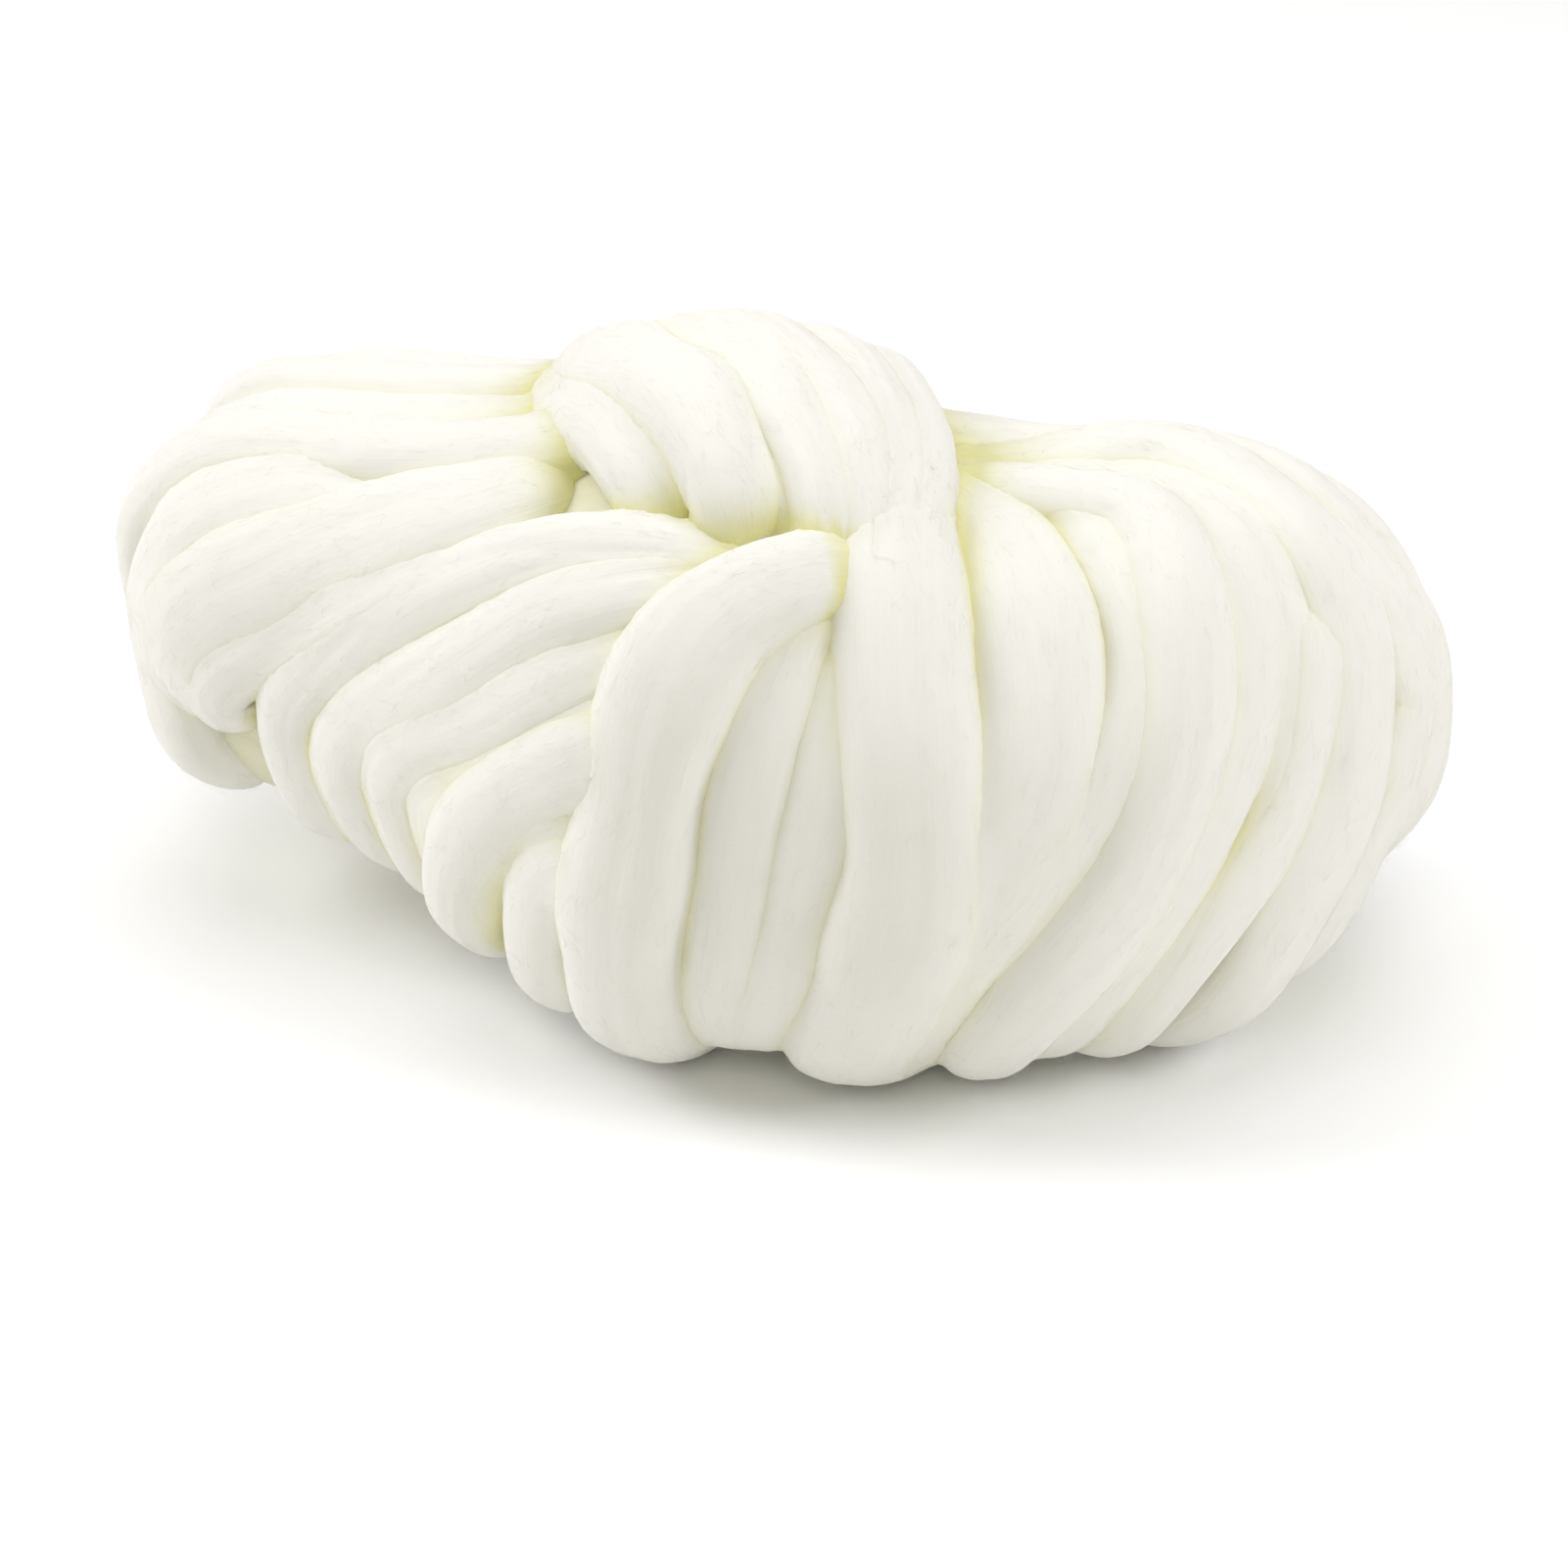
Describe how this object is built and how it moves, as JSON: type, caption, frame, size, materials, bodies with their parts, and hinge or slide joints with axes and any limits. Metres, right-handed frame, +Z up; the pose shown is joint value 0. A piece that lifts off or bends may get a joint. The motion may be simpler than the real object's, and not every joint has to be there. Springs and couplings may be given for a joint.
{
  "type": "hank of chunky roving yarn",
  "caption": "Loose hank of very thick untwisted wool roving, folded over at its middle into a full lobe and a slim bundle, lying on a surface.",
  "frame": {"origin": "middle of the hank's box, on the surface it rests on", "axes": "+X along the hank, from the slim bundle to the full lobe; -Y is the front; +Z up"},
  "size_m": [0.306, 0.166, 0.1466],
  "materials": {
    "wool": "soft matt cream-white combed wool fibre"
  },
  "bodies": {
    "root": {"hank": "wool"}
  },
  "joints": []
}
